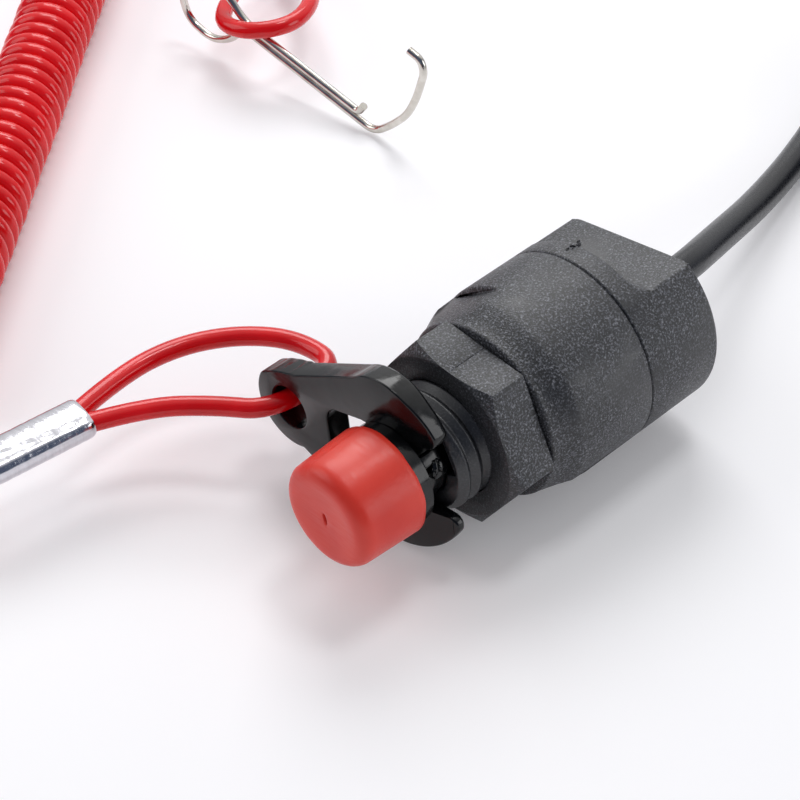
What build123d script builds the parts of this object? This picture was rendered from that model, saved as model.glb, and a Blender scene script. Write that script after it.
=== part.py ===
from build123d import *
import math
import os

# Engine kill switch with lanyard, millimetres.
# X runs along the switch from the button (-X) to the cable (+X), Z is up, and the origin is on the
# switch axis at the flat shoulder that seats against the panel. The switch lies on its side.

# Housing and threaded barrel
body_r = 13.6            # outside radius of the moulded body
body_length = 29.0       # shoulder to rear face
cap_length = 12.6        # rear cap, from the parting line to the rear face
shoulder_drop = 1.5      # from the body's side in to the edge of the flat shoulder
shoulder_run = 4.2       # length of the rounding behind the shoulder
barrel_r = 8.0           # thread outside radius, for a 16 mm hole
barrel_length = 11.2
barrel_chamfer = 0.7
rear_edge_r = 0.9
cut_past = 1.0           # how far a cutting outline runs past the part

# Flats moulded into the body, turned about the axis
rear_flat_angle = 79.5   # direction of the rear flats' normal, from +Y towards +Z
rear_flat_wall = 1.5     # left between the flats and the room inside
rear_flat_setback = 3.2  # from the parting line to the flats' end wall
rear_flat_round = 2.4
front_flat_angle = 52.0
front_flat_depth = 1.0
front_flat_length = 6.9

# Nut
nut_across_flats = 22.1
nut_thickness = 6.15
nut_gap = 0.35           # between the nut and the shoulder
nut_thread_clearance = 0.04
nut_face_inset = 0.01    # the front face's circle, inside the flats
nut_chamfer_length = 1.0
nut_corner_angle = 63.4  # direction of one corner about the axis

# Plunger and button
neck_r = 4.9
bore_clearance = 0.06
collar_r = 6.8
collar_front = -18.6
collar_back = -15.0
boss_r = 4.2
boss_length = 2.4
neck_back = 1.0
stem_r = 3.0
stem_to_base = 5.4       # from the stem's end to the contact base's seat
rod_r = 1.5
rod_clearance = 0.06
button_r = 7.45
button_front_r = 7.1
button_back = -16.85
button_front = -26.6
button_wall = 1.6
button_edge = 1.9
button_dish = 0.25
button_room_r = 5.6      # inside the cup, beyond the collar
skirt_clearance = 0.06
button_stop_gap = 0.18   # left between cup and collar at full press
button_travel = 1.6      # inwards, pressed by hand

# Lock clip, a flat fork whose slot slides over the plunger's neck
clip_turn = -7.0         # tilt of the clip about the switch axis, in degrees
clip_seat = 0.04         # clearance to the collar and to the barrel's end
clip_centre = (0.6, 0.4)
clip_half_length = 10.2
clip_half_width = 12.8
clip_shoulder_u = 5.6    # where the straight flanks leave the fork's outline
slot_half = 5.25
slot_root_half = 4.0
slot_taper_start = 5.0
slot_root = 11.6
slot_corner_r = 2.4
tip_r = 1.4
hole_u = 18.7            # centre of the lanyard hole
hole_r = 3.0
tab_r = 5.85
flank_setback = 1.7      # from the hole's centre back to where the flanks meet the tab
clip_edge_r = 0.5
ramp_start = 7.0         # where the front face starts to fall towards the tips
ramp_knee = 3.0
ramp_knee_drop = 0.48
tip_thickness = 0.9

# Inside the body
bore_end = 2.0
body_wall = 5.6          # round the room inside
cap_skirt = 2.0          # wall of the cap round the housing's spigot
spigot_length = 2.0
spigot_clearance = 0.06
base_seat_setback = 0.8  # behind the parting line
flange_ledge = 1.9       # width of the ledge that the contact base's flange sits on
cap_wall = 2.6
part_clearance = 0.06

# Springs, seals and rings
plunger_wire = 0.8
plunger_coil_inset = 2.1 # from the room's wall to the middle of the wire
plunger_pitch = 1.28
button_wire = 0.5
button_coil_r = 4.85
button_turns = 4
spring_seat = 0.05
washer_setback = 2.5     # from the washer's front to the stem's end
washer_t = 1.0
washer_clearance = 0.6
clip_ring_t = 0.8
clip_ring_r = 4.6
clip_ring_gap = 60.0
ring_groove_r = 2.5
seal_x = -6.0
seal_r = 0.42
seal_groove_width = 1.1
cap_seal_setback = 1.0   # behind the parting line
cap_seal_r = 0.45
cap_groove_width = 1.35
seal_fit = 0.02

# Contacts
bridge_r = 3.4
bridge_t = 1.5
rod_head_r = 2.1
rod_head_t = 0.5
base_t = 3.9
base_pocket_r = 4.7
base_pocket_depth = 1.5
base_hole_r = 2.4
finger_gap = 0.05        # between the bridge and each finger, seen along the axis
finger_t = 0.6
finger_w = 3.6
finger_reach = 2.6       # in front of the base
finger_length = 8.0
finger_corner_r = 0.9

# Cable, its two cores and their ring terminals
cable_r = 2.2
wire_r = 0.45
wire_y = 0.95
wire_sway = 0.1          # sideways, over each end stretch of an inner wire
wire_end_share = 0.3     # of its run, straight at each end
core_r = 0.75
bush_r = 3.6
bush_flange_r = 5.2
bush_flange_t = 1.2
bush_proud = 0.3
coil_ring_r = 24.0
coil_ring_centre = (111.4, -1.8)
coil_ring_layers = 2
coil_ring_slack = (0.2, -0.05)   # of its section over the cable's own, in width and height
cable_route = [(36.5, 0, 0), (50, 4.0, -4.0), (65, 8.6, -8.8), (82, 13.8, -11.35), (104.0, 20.97, -11.35)]
core_a_route = [(134.35, 5.2, -6.0), (134.2, -4.6, -6.8), (127.4, -14.6, -9.8), (117.2, -18.4, -12.1),
                (107.6, -16.2, -12.1)]
core_b_route = [(134.35, 5.2, -7.9), (133.6, -2.6, -8.3), (128.0, -9.4, -10.8), (119.8, -11.6, -12.1),
                (111.8, -8.6, -12.1)]
lug_barrel_r = 1.35
lug_barrel_length = 4.6
lug_grip = 4.0           # length of core inside the barrel
lug_ring_r = 3.3
lug_hole_r = 1.6
lug_reach = 6.2          # from the barrel to the hole
lug_t = 0.8
lug_clearance = 0.02

# Lanyard
lanyard_r = 1.3
front_loop_route = [(-33.57, 35.01, -3.0), (-26.5, 32.2, -3.1), (-20.6, 26.4, -2.9), (-16.6, 19.9, -2.2),
                    (-5.0, 19.9, -2.2), (-5.0, 28.0, -2.7), (-9.5, 34.3, -3.0), (-16.5, 38.2, -3.0),
                    (-25.0, 39.2, -3.1), (-33.23, 37.59, -3.0)]
front_ferrule_ends = [(-33.4, 36.3, -3.0), (-47.4, 38.2, -3.3)]
front_tail_route = [(-47.4, 38.2, -3.3), (-55.5, 39.4, -5.4), (-61.2, 44.8, -8.4), (-62.0, 52.4, -10.8),
                    (-57.4, 58.6, -12.1), (-50.3, 60.6, -12.25), (-42.8, 60.0, -12.25)]
coil_ends = [(-42.8, 60.0, -7.55), (51.6, 135.7, -7.55)]
coil_r = 6.0
rear_tail_route = [(51.6, 135.7, -12.25), (60.5, 133.8, -12.2), (70.0, 131.6, -12.1), (78.2, 126.4, -12.0),
                   (80.4, 118.6, -11.9), (76.2, 113.4, -11.7), (69.4, 109.0, -11.4)]
rear_ferrule_ends = [(69.4, 109.0, -11.4), (58.6, 100.0, -7.6)]
rear_loop_route = [(59.43, 99.0, -7.6), (55.2, 90.6, -5.6), (50.4, 84.4, -4.1), (44.5, 81.3, -3.4),
                   (40.0, 82.4, -3.4), (37.4, 86.0, -4.1), (37.2, 90.4, -4.7), (41.0, 94.0, -5.1),
                   (48.4, 98.4, -6.0), (57.77, 101.0, -7.6)]
ferrule_half_width = 3.1
ferrule_half_height = 1.9

# Wire hook, as (distance along the shank, height) in the upright plane through its bend
hook_wire_r = 0.6
hook_bend = (42.1, 62.7)
hook_heading = 95.9      # direction of the shank, in degrees from +X
hook_profile = [(1.9, -9.2), (2.9, -10.7), (25.4, -4.3), (28.7, -0.6), (32.5, 0.95), (37.1, -0.9),
                (38.4, -4.8), (37.1, -8.9), (32.5, -10.6), (28.5, -9.0), (25.4, -5.65), (0, -12.9),
                (-3.1, -10.5), (-6.4, -7.0), (-8.2, -3.1), (-9.6, 1.9), (-9.0, 3.9), (-6.85, 4.6)]

arc_share = 0.45


def arc_radii(points):
    """Largest tangent arcs that the runs beside each corner leave room for."""
    radii = []
    for before, here, after in zip(points, points[1:], points[2:]):
        run_in, run_out = Vector(*here) - Vector(*before), Vector(*after) - Vector(*here)
        half_turn = math.radians(run_in.get_angle(run_out)) / 2
        radii.append(arc_share * min(run_in.length, run_out.length) / math.tan(half_turn))
    return radii


def run_tube(points, radius, label):
    """A round tube along straight runs that tangent arcs join."""
    radii = arc_radii(points)
    with BuildPart() as tube:
        with BuildLine() as path:
            FilletPolyline(*points, radius=radii)
        with BuildSketch(Plane(path.line @ 0, z_dir=path.line % 0)):
            Circle(radius)
        sweep(path=path.line)
    share = tube.part.volume / (math.pi * radius**2 * path.wire().length)
    print(f"{label}: length {path.wire().length:.1f}, tightest arc {min(radii):.1f}, volume share {share:.3f}")
    return tube


def ferrule_plane(ends):
    """Plane across a ferrule at its first end, with its long axis level."""
    start, end = Vector(*ends[0]), Vector(*ends[1])
    along = (end - start).normalized()
    return Plane(start, x_dir=Vector(0, 0, 1).cross(along), z_dir=along)


def finish(piece, label):
    """Name a piece and write it."""
    piece.part.label = label
    export_step(piece.part, f"parts/{label}.step")


os.makedirs("parts", exist_ok=True)
bore_r = neck_r + bore_clearance
chamber_r = body_r - body_wall
spigot_r = body_r - cap_skirt
cap_bore_r = spigot_r + spigot_clearance
flange_room_r = chamber_r + flange_ledge
rear_flat_distance = chamber_r + rear_flat_wall
parting_x = body_length - cap_length
spigot_end = parting_x + spigot_length
cap_step = spigot_end + part_clearance
cap_room_end = body_length - cap_wall
base_seat_x = parting_x + base_seat_setback
cap_seal_x = parting_x + cap_seal_setback
stem_back = base_seat_x - stem_to_base
washer_front = stem_back - washer_setback
finger_front = base_seat_x - finger_reach
finger_back = finger_front + finger_length
cable_start = cap_room_end - bush_flange_t
nut_back = -nut_gap
nut_front = nut_back - nut_thickness
clip_front = collar_back + clip_seat
clip_t = -barrel_length - clip_seat - clip_front
clip_u = Vector(0, 1, 0).rotate(Axis.X, clip_turn)
clip_v = Vector(0, 0, 1).rotate(Axis.X, clip_turn)
seal_ring_r = bore_r - seal_fit - seal_r
cap_seal_ring_r = cap_bore_r - seal_fit - cap_seal_r
finger_y = bridge_r + finger_gap + finger_t / 2

# Front housing: threaded barrel, seating shoulder and body in one moulding
with BuildPart() as front_housing:
    shoulder_r = body_r - shoulder_drop
    with BuildSketch(Plane.XZ):
        with BuildLine():
            Polyline((-barrel_length, 0), (-barrel_length, barrel_r - barrel_chamfer),
                     (-barrel_length + barrel_chamfer, barrel_r), (0, barrel_r), (0, shoulder_r))
            TangentArc((shoulder_run, body_r), (0, shoulder_r), tangent=(-1, 0))
            Polyline((shoulder_run, body_r), (parting_x, body_r), (parting_x, spigot_r),
                     (spigot_end, spigot_r), (spigot_end, 0), (-barrel_length, 0))
        make_face()
    revolve(axis=Axis.X)
    with BuildSketch(Plane.YZ.offset(-barrel_length)):
        Circle(bore_r)
    extrude(amount=barrel_length + bore_end, mode=Mode.SUBTRACT)
    with BuildSketch(Plane.YZ.offset(bore_end)):
        Circle(chamber_r)
    extrude(amount=body_length, mode=Mode.SUBTRACT)
    with BuildSketch(Plane.YZ.offset(base_seat_x)):
        Circle(flange_room_r)
    extrude(amount=body_length, mode=Mode.SUBTRACT)
    with BuildSketch(Plane.XZ):
        with Locations((cap_seal_x, spigot_r)):
            Rectangle(cap_groove_width, 2 * (spigot_r - cap_seal_ring_r + cap_seal_r + seal_fit))
    revolve(axis=Axis.X, mode=Mode.SUBTRACT)
    for side in (0, 180):
        lift = Vector(0, body_r - front_flat_depth, 0).rotate(Axis.X, front_flat_angle + side)
        with BuildSketch(Plane(lift, x_dir=(1, 0, 0), z_dir=lift.normalized())):
            Rectangle(2 * front_flat_length, 2 * body_r)
        extrude(amount=body_r, mode=Mode.SUBTRACT)
finish(front_housing, "front_housing")

# Rear cap: closes the body, with two flats for a spanner and the cable's hole
with BuildPart() as rear_cap:
    with BuildSketch(Plane.YZ.offset(parting_x)):
        Circle(body_r)
    extrude(amount=body_length - parting_x)
    fillet(rear_cap.faces().sort_by(Axis.X)[-1].edges(), rear_edge_r)
    with BuildSketch(Plane.YZ.offset(parting_x)):
        Circle(cap_bore_r)
    extrude(amount=cap_step - parting_x, mode=Mode.SUBTRACT)
    with BuildSketch(Plane.YZ.offset(cap_step)):
        Circle(chamber_r)
    extrude(amount=cap_room_end - cap_step, mode=Mode.SUBTRACT)
    with BuildSketch(Plane.YZ.offset(cap_room_end)):
        Circle(bush_r)
    extrude(amount=cap_wall, mode=Mode.SUBTRACT)
    for side in (0, 180):
        lift = Vector(0, 1, 0).rotate(Axis.X, rear_flat_angle + side)
        across = Vector(1, 0, 0).cross(lift)
        with BuildSketch(Plane((0, 0, 0), x_dir=(1, 0, 0), z_dir=across)):
            with BuildLine():
                flat_start, flat_end = parting_x + rear_flat_setback, body_length + cut_past
                Polyline((flat_start, 2 * body_r), (flat_start, rear_flat_distance),
                         (flat_end, rear_flat_distance), (flat_end, 2 * body_r), close=True)
            make_face()
            fillet(vertices().group_by(Axis.X)[0], rear_flat_round)
        extrude(amount=body_r, both=True, mode=Mode.SUBTRACT)
finish(rear_cap, "rear_cap")

# Hexagon nut, chamfered on the side that faces away from the panel
with BuildPart() as hex_nut:
    with BuildSketch(Plane.YZ.offset(nut_front)):
        RegularPolygon(nut_across_flats / 2, 6, major_radius=False, rotation=nut_corner_angle)
        Circle(barrel_r + nut_thread_clearance, mode=Mode.SUBTRACT)
    extrude(amount=nut_back - nut_front)
    corner_r = nut_across_flats / math.sqrt(3)
    with BuildSketch(Plane.XZ):
        with BuildLine():
            Polyline((nut_front, 0), (nut_front, nut_across_flats / 2 - nut_face_inset),
                     (nut_front + nut_chamfer_length, corner_r),
                     (nut_back, corner_r), (nut_back, 0), close=True)
        make_face()
    revolve(axis=Axis.X, mode=Mode.INTERSECT)
finish(hex_nut, "hex_nut")

# Plunger: the collar holds the clip, the neck runs in the barrel, the stem carries spring and ring
with BuildPart() as plunger:
    with BuildSketch(Plane.XZ):
        with BuildLine():
            Polyline((collar_front - boss_length, 0), (collar_front - boss_length, boss_r), (collar_front, boss_r),
                     (collar_front, collar_r), (collar_back, collar_r), (collar_back, neck_r),
                     (neck_back, neck_r), (neck_back, stem_r), (stem_back, stem_r), (stem_back, 0), close=True)
        make_face()
        groove_r = seal_ring_r - seal_r - seal_fit
        with Locations((seal_x, neck_r)):
            Rectangle(seal_groove_width, 2 * (neck_r - groove_r), mode=Mode.SUBTRACT)
        with Locations((washer_front + washer_t + clip_ring_t / 2, stem_r)):
            Rectangle(clip_ring_t + 2 * seal_fit, 2 * (stem_r - ring_groove_r), mode=Mode.SUBTRACT)
    revolve(axis=Axis.X)
    with BuildSketch(Plane.YZ.offset(collar_front - boss_length)):
        Circle(rod_r + rod_clearance)
    extrude(amount=stem_back - collar_front + boss_length, mode=Mode.SUBTRACT)
finish(plunger, "plunger")

# Red button: a cup over the collar, with a rod that reaches through the plunger to the contacts
rod_end = stem_back + spring_seat + bridge_t
with BuildPart() as red_button:
    with BuildSketch(Plane.XZ):
        with BuildLine():
            room_start = collar_front - button_travel - button_stop_gap
            skirt_r = collar_r + skirt_clearance
            Polyline((button_front + button_dish, 0), (button_front, button_front_r - button_edge),
                     (button_front, button_front_r), (button_back, button_r), (button_back, skirt_r),
                     (room_start, skirt_r), (room_start, button_room_r),
                     (button_front + button_wall, button_room_r), (button_front + button_wall, rod_r),
                     (rod_end, rod_r), (rod_end, rod_head_r), (rod_end + rod_head_t, rod_head_r),
                     (rod_end + rod_head_t, 0), close=True)
        make_face()
    revolve(axis=Axis.X)
    fillet(red_button.edges().filter_by(GeomType.CIRCLE).group_by(Axis.X)[0].sort_by(SortBy.RADIUS)[-1],
           button_edge)
finish(red_button, "red_button")

# Lock clip, drawn in its own plane: u runs along the slot, v across it
with BuildPart() as lock_clip:
    with BuildSketch(Plane((clip_front, 0, 0), x_dir=clip_u, z_dir=(1, 0, 0))):
        with Locations(clip_centre):
            Ellipse(clip_half_length, clip_half_width)
        shoulder_share = (clip_shoulder_u - clip_centre[0]) / clip_half_length
        shoulder_half = clip_half_width * math.sqrt(1 - shoulder_share**2)
        flank_half = math.sqrt(tab_r**2 - flank_setback**2)
        with Locations((0, clip_centre[1])):
            Polygon((clip_shoulder_u, shoulder_half), (clip_shoulder_u, -shoulder_half),
                    (hole_u - flank_setback, -flank_half), (hole_u - flank_setback, flank_half), align=None)
        with Locations((hole_u, clip_centre[1])):
            Circle(tab_r)
        with BuildLine():
            Polyline((-2 * clip_half_length, slot_half), (slot_taper_start, slot_half),
                     (slot_root, slot_root_half), (slot_root, -slot_root_half),
                     (slot_taper_start, -slot_half), (-2 * clip_half_length, -slot_half), close=True)
        make_face(mode=Mode.SUBTRACT)
        fillet(vertices().filter_by_position(Axis.X, slot_root - clip_seat, slot_root + clip_seat), slot_corner_r)
        fillet(vertices().filter_by_position(Axis.X, -clip_half_length, -clip_half_length / 2), tip_r)
        with Locations((hole_u, clip_centre[1])):
            Circle(hole_r, mode=Mode.SUBTRACT)
    extrude(amount=clip_t)
    with BuildSketch(Plane((clip_front, 0, 0), x_dir=clip_u, z_dir=-clip_v)):
        tip_u = clip_centre[0] - clip_half_length
        Polygon((ramp_start, 0), (ramp_knee, ramp_knee_drop), (tip_u, clip_t - tip_thickness),
                (tip_u - cut_past, clip_t - tip_thickness), (tip_u - cut_past, -cut_past),
                (ramp_start, -cut_past), align=None)
    extrude(amount=2 * clip_half_width, both=True, mode=Mode.SUBTRACT)
    fillet(lock_clip.edges().group_by(Axis.X)[-1], clip_edge_r)
finish(lock_clip, "lock_clip")

# Springs: the plunger's pushes it inwards against the clip, the button's pushes the cup outwards
with BuildPart() as plunger_spring:
    spring_start = bore_end + spring_seat + plunger_wire / 2
    spring_run = washer_front - spring_seat - plunger_wire / 2 - spring_start
    with BuildLine() as coil:
        Helix(plunger_pitch, spring_run, chamber_r - plunger_coil_inset, center=(spring_start, 0, 0),
              direction=(1, 0, 0))
    with BuildSketch(Plane(coil.line @ 0, z_dir=coil.line % 0)):
        Circle(plunger_wire / 2)
    sweep(path=coil.line, is_frenet=True)
finish(plunger_spring, "plunger_spring")

with BuildPart() as button_spring:
    spring_start = button_front + button_wall + spring_seat + button_wire / 2
    spring_run = collar_front - spring_seat - button_wire / 2 - spring_start
    with BuildLine() as coil:
        Helix(spring_run / button_turns, spring_run, button_coil_r, center=(spring_start, 0, 0),
              direction=(1, 0, 0))
    with BuildSketch(Plane(coil.line @ 0, z_dir=coil.line % 0)):
        Circle(button_wire / 2)
    sweep(path=coil.line, is_frenet=True)
finish(button_spring, "button_spring")

# Washer and retaining ring that carry the plunger's spring
with BuildPart() as spring_washer:
    with BuildSketch(Plane.YZ.offset(washer_front)):
        Circle(chamber_r - washer_clearance)
        Circle(stem_r + seal_fit, mode=Mode.SUBTRACT)
    extrude(amount=washer_t)
finish(spring_washer, "spring_washer")

with BuildPart() as retaining_ring:
    with BuildSketch(Plane.YZ.offset(washer_front + washer_t)):
        Circle(clip_ring_r)
        Circle(ring_groove_r + seal_fit, mode=Mode.SUBTRACT)
        half_gap = math.radians(clip_ring_gap / 2)
        reach = 2 * clip_ring_r
        Polygon((0, 0), (reach * math.cos(half_gap), reach * math.sin(half_gap)),
                (reach * math.cos(half_gap), -reach * math.sin(half_gap)), align=None, mode=Mode.SUBTRACT)
    extrude(amount=clip_ring_t)
finish(retaining_ring, "retaining_ring")

# Rubber rings in the plunger's groove and in the groove of the housing's spigot
with BuildPart() as plunger_seal:
    with BuildSketch(Plane.XZ):
        with Locations((seal_x, seal_ring_r)):
            Circle(seal_r)
    revolve(axis=Axis.X)
finish(plunger_seal, "plunger_seal")

with BuildPart() as cap_seal:
    with BuildSketch(Plane.XZ):
        with Locations((cap_seal_x, cap_seal_ring_r)):
            Circle(cap_seal_r)
    revolve(axis=Axis.X)
finish(cap_seal, "cap_seal")

# Contacts: a brass ring on the button's rod, two fingers, and the base that holds the fingers
with BuildPart() as contact_bridge:
    with BuildSketch(Plane.YZ.offset(rod_end - bridge_t)):
        Circle(bridge_r)
        Circle(rod_r + seal_fit, mode=Mode.SUBTRACT)
    extrude(amount=bridge_t)
finish(contact_bridge, "contact_bridge")

with BuildPart() as contact_base:
    with BuildSketch(Plane.YZ.offset(base_seat_x)):
        Circle(flange_room_r - part_clearance)
    extrude(amount=cap_step - base_seat_x)
    with BuildSketch(Plane.YZ.offset(cap_step)):
        Circle(chamber_r - part_clearance)
    extrude(amount=base_seat_x + base_t - cap_step)
    with BuildSketch(Plane.YZ.offset(base_seat_x)):
        Circle(base_pocket_r)
    extrude(amount=base_pocket_depth, mode=Mode.SUBTRACT)
    with BuildSketch(Plane.YZ.offset(base_seat_x)):
        Circle(base_hole_r)
        with Locations((finger_y, 0), (-finger_y, 0)):
            Rectangle(finger_t + 2 * seal_fit, finger_w + 2 * seal_fit)
    extrude(amount=base_t, mode=Mode.SUBTRACT)
finish(contact_base, "contact_base")

for name, side in (("fixed_contact_a", 1), ("fixed_contact_b", -1)):
    with BuildPart() as finger:
        with BuildSketch(Plane.YZ.offset(finger_front)):
            with Locations((side * finger_y, 0)):
                Rectangle(finger_t, finger_w)
        extrude(amount=finger_back - finger_front)
        fillet(finger.edges().filter_by(Axis.Y).group_by(Axis.X)[0], finger_corner_r)
    finish(finger, name)

for name, side in (("inner_wire_a", 1), ("inner_wire_b", -1)):
    straight = wire_end_share * (cable_start - finger_back)
    wire = run_tube([(finger_back, side * finger_y, 0), (finger_back + straight, side * (finger_y - wire_sway), 0),
                     (cable_start - straight, side * (wire_y + wire_sway), 0), (cable_start, side * wire_y, 0)],
                    wire_r, name)
    finish(wire, name)

# Rubber bush that grips the cable in the cap's rear wall
with BuildPart() as cable_bush:
    with BuildSketch(Plane.YZ.offset(cap_room_end - bush_flange_t)):
        Circle(bush_flange_r)
    extrude(amount=bush_flange_t)
    with BuildSketch(Plane.YZ.offset(cap_room_end)):
        Circle(bush_r)
    extrude(amount=cap_wall + bush_proud)
    with BuildSketch(Plane.YZ.offset(cap_room_end - bush_flange_t)):
        Circle(cable_r)
    extrude(amount=bush_flange_t + cap_wall + bush_proud, mode=Mode.SUBTRACT)
finish(cable_bush, "cable_bush")

# Cable: the free run, and the rest of it wound into a ring two layers high
finish(run_tube([(cable_start, 0, 0), *cable_route], cable_r, "cable"), "cable")

with BuildPart() as cable_coil:
    with BuildSketch(Plane.XZ):
        with Locations((coil_ring_r, coil_ring_layers * cable_r - body_r)):
            RectangleRounded(2 * cable_r + coil_ring_slack[0],
                             2 * coil_ring_layers * cable_r + coil_ring_slack[1], cable_r)
    revolve(axis=Axis.Z)
cable_coil.part = Pos(coil_ring_centre[0], coil_ring_centre[1], 0) * cable_coil.part
finish(cable_coil, "cable_coil")

# Cores of the cable, each crimped in a ring terminal
for mark, route in (("a", core_a_route), ("b", core_b_route)):
    finish(run_tube(route, core_r, f"core_wire_{mark}"), f"core_wire_{mark}")
    end = Vector(*route[-1])
    lug_x = Vector(route[-1][0] - route[-2][0], route[-1][1] - route[-2][1], 0).normalized()
    grip_start = end - lug_x * lug_grip
    with BuildPart() as ring_terminal:
        with BuildSketch(Plane(grip_start, x_dir=(0, 0, 1), z_dir=lug_x)):
            Circle(lug_barrel_r)
        extrude(amount=lug_barrel_length)
        with BuildSketch(Plane(grip_start + Vector(0, 0, -lug_barrel_r), x_dir=lug_x, z_dir=(0, 0, 1))):
            with Locations(((lug_barrel_length + lug_reach) / 2, 0)):
                Rectangle(lug_barrel_length + lug_reach, 2 * lug_barrel_r)
            with Locations((lug_barrel_length + lug_reach, 0)):
                Circle(lug_ring_r)
                Circle(lug_hole_r, mode=Mode.SUBTRACT)
        extrude(amount=lug_t)
        with BuildSketch(Plane(grip_start, x_dir=(0, 0, 1), z_dir=lug_x)):
            Circle(core_r + lug_clearance)
        extrude(amount=lug_barrel_length, mode=Mode.SUBTRACT)
    finish(ring_terminal, f"ring_terminal_{mark}")

# Lanyard: two loops of cord, each crimped in a ferrule, joined by a long coil of the same cord
finish(run_tube(front_loop_route, lanyard_r, "lanyard_front_loop"), "lanyard_front_loop")
finish(run_tube(front_tail_route, lanyard_r, "lanyard_front_tail"), "lanyard_front_tail")
finish(run_tube(rear_tail_route, lanyard_r, "lanyard_rear_tail"), "lanyard_rear_tail")
finish(run_tube(rear_loop_route, lanyard_r, "lanyard_rear_loop"), "lanyard_rear_loop")

with BuildPart() as lanyard_coil:
    start, stop = Vector(*coil_ends[0]), Vector(*coil_ends[1])
    with BuildSketch(Plane(start, z_dir=(stop - start).normalized())):
        Circle(coil_r)
    extrude(amount=(stop - start).length)
    fillet(lanyard_coil.edges().filter_by(GeomType.CIRCLE), lanyard_r)
finish(lanyard_coil, "lanyard_coil")

for name, ends in (("front_ferrule", front_ferrule_ends), ("rear_ferrule", rear_ferrule_ends)):
    with BuildPart() as ferrule:
        with BuildSketch(ferrule_plane(ends)):
            SlotOverall(2 * ferrule_half_width, 2 * ferrule_half_height)
        extrude(amount=(Vector(*ends[1]) - Vector(*ends[0])).length)
    finish(ferrule, name)

# Wire hook, bent from one round wire
along = Vector(1, 0, 0).rotate(Axis.Z, hook_heading)
hook_route = [(hook_bend[0] + along.X * run, hook_bend[1] + along.Y * run, height) for run, height in hook_profile]
finish(run_tube(hook_route, hook_wire_r, "wire_hook"), "wire_hook")
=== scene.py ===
import math
import random

import bpy
from mathutils import Euler, Matrix, Vector


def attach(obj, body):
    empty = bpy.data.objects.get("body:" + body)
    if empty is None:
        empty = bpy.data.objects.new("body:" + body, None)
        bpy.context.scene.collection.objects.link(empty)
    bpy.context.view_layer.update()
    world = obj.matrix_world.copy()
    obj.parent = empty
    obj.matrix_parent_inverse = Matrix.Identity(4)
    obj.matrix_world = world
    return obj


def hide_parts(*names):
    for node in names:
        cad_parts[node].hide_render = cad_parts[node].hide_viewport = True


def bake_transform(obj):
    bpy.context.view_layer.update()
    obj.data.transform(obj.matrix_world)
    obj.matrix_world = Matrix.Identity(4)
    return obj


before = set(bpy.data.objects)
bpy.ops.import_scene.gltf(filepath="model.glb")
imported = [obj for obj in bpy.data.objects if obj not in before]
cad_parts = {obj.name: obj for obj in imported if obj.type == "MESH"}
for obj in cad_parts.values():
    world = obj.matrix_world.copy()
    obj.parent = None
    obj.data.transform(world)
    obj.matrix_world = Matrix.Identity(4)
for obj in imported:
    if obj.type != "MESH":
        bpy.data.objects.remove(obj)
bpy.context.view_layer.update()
print("frame loaded")

mm = 0.001
floorHeight = -13.6 * mm
mergeReach = 0.002 * mm         # points nearer than this are one


def deselectAll():
    if bpy.context.object and bpy.context.object.mode != "OBJECT":
        bpy.ops.object.mode_set(mode="OBJECT")
    bpy.ops.object.select_all(action="DESELECT")


def makeActive(piece):
    deselectAll()
    bpy.context.view_layer.objects.active = piece
    piece.select_set(True)


def applyPlace(piece):
    makeActive(piece)
    bpy.ops.object.transform_apply(location=True, rotation=True, scale=True)


def applyModifiers(piece):
    makeActive(piece)
    for modifier in list(piece.modifiers):
        bpy.ops.object.modifier_apply(modifier=modifier.name)


def finishPiece(piece, name, material, body, slotName, *nodes, angle=35):
    # names a piece, gives it its finish and seats it on its body, or on none
    piece.name = name
    piece.data.materials.clear()
    piece.data.materials.append(material)
    makeActive(piece)
    if piece.type == "MESH":
        bpy.ops.object.shade_smooth_by_angle(angle=math.radians(angle))
    if body:
        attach(piece, body)
    if nodes:
        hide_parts(*nodes)
    deselectAll()
    return piece


def copyOfNode(node):
    # a merged copy of a construction solid, ready to be shaped further
    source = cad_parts[node]
    mesh = source.data.copy()
    piece = bpy.data.objects.new(node + "Shape", mesh)
    bpy.context.scene.collection.objects.link(piece)
    makeActive(piece)
    bpy.ops.object.mode_set(mode="EDIT")
    bpy.ops.mesh.select_all(action="SELECT")
    bpy.ops.mesh.remove_doubles(threshold=mergeReach)
    bpy.ops.mesh.dissolve_limited(angle_limit=math.radians(0.6))
    bpy.ops.object.mode_set(mode="OBJECT")
    return piece


def softenEdges(piece, width, segments=2, angle=32, clamp=True):
    # rounds the edges that turn by more than the angle, in degrees
    bevel = piece.modifiers.new("softEdges", "BEVEL")
    bevel.width = width
    bevel.segments = segments
    bevel.limit_method = "ANGLE"
    bevel.angle_limit = math.radians(angle)
    bevel.use_clamp_overlap = clamp
    bevel.harden_normals = False
    applyModifiers(piece)


def cutWith(piece, cutter):
    # takes the cutter's shape out of the piece and throws the cutter away
    boolean = piece.modifiers.new("cut", "BOOLEAN")
    boolean.operation = "DIFFERENCE"
    boolean.solver = "EXACT"
    boolean.object = cutter
    applyModifiers(piece)
    bpy.data.objects.remove(cutter, do_unlink=True)


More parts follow.
